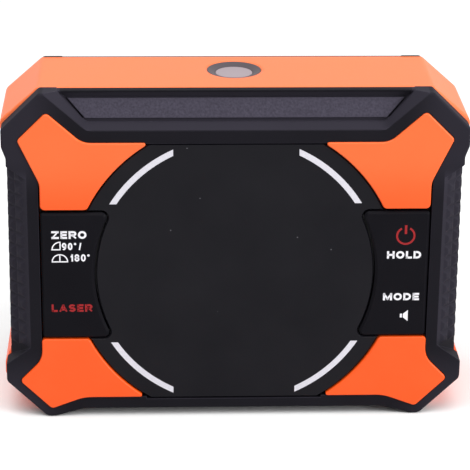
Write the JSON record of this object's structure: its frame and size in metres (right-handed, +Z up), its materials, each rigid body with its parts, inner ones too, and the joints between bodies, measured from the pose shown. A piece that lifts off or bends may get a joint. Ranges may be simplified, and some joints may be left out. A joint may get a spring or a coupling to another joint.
{
  "type": "digital level",
  "caption": "Hand-held digital level with a round display window, rocker keys, laser outlet, magnetic base and battery bay.",
  "frame": {"origin": "on the surface that the level stands on, under the middle of the case", "axes": "+X to the right seen from the dial side, +Y from the dial to the back, +Z up"},
  "size_m": [0.0994, 0.0314, 0.0738],
  "materials": {
    "orange_plastic": "moulded, satin",
    "black_rubber": "fine matt texture",
    "black_plastic": "fine moulded texture",
    "key_plastic": "satin",
    "smoked_window": "dark, nearly opaque, glossy",
    "white_print": "printed",
    "foam": "closed-cell foam",
    "grey_plastic": "satin",
    "laser_pane": "frosted",
    "display_glass": "polarised display glass",
    "white_plastic": "translucent white",
    "strip_rubber": "layered conductive strip",
    "board_laminate": "green solder mask",
    "chip_plastic": "moulded",
    "plated_steel": "zinc plated",
    "black_steel": "black oxide",
    "spring_steel": "nickel plated",
    "brass": "turned",
    "lens_glass": "polished",
    "cell_jacket": "plain printed jacket",
    "lead_red": "insulated wire",
    "lead_black": "insulated wire",
    "base_aluminium": "milled and anodised",
    "magnet_nickel": "nickel plated"
  },
  "bodies": {
    "body": {"case": "orange_plastic", "front_bumper": "black_rubber", "rear_cover": "black_plastic", "case_screws": "black_steel", "display_window": "smoked_window", "dial_arcs": "white_print", "window_gasket": "foam", "lcd_panel": "display_glass", "lcd_frame": "white_plastic", "contact_strips": "strip_rubber", "main_board": "board_laminate", "board_screws": "plated_steel", "key_switches": "chip_plastic", "processor": "chip_plastic", "tilt_sensor": "chip_plastic", "buzzer": "chip_plastic", "laser_bezel": "grey_plastic", "laser_window": "laser_pane", "laser_barrel": "brass", "laser_lens": "lens_glass", "laser_diode": "brass", "laser_cradle": "black_plastic", "cradle_screws": "plated_steel", "cell_upper": "cell_jacket", "cell_lower": "cell_jacket", "contact_plates": "spring_steel", "contact_springs": "spring_steel", "battery_leads": "lead_red", "laser_leads": "lead_black", "base_plate": "base_aluminium", "base_magnets": "magnet_nickel", "base_screws": "plated_steel"},
    "left_rocker": {"left_key": "key_plastic"},
    "right_rocker": {"right_key": "key_plastic"},
    "door": {"battery_door": "black_plastic"}
  },
  "joints": [
    {"name": "left_key_rock", "type": "hinge", "parent": "body", "child": "left_rocker", "pos_m": [-0.036, -0.01192, 0.0335], "axis": [1, 0, 0], "range_deg": [-1.4, 1.4], "stiffness_Nm_per_rad": 0.7},
    {"name": "right_key_rock", "type": "hinge", "parent": "body", "child": "right_rocker", "pos_m": [0.036, -0.01192, 0.0335], "axis": [1, 0, 0], "range_deg": [-1.4, 1.4], "stiffness_Nm_per_rad": 0.7},
    {"name": "door_pull", "type": "slide", "parent": "body", "child": "door", "axis": [0, 1, 0], "range_m": [0, 0.012]}
  ]
}
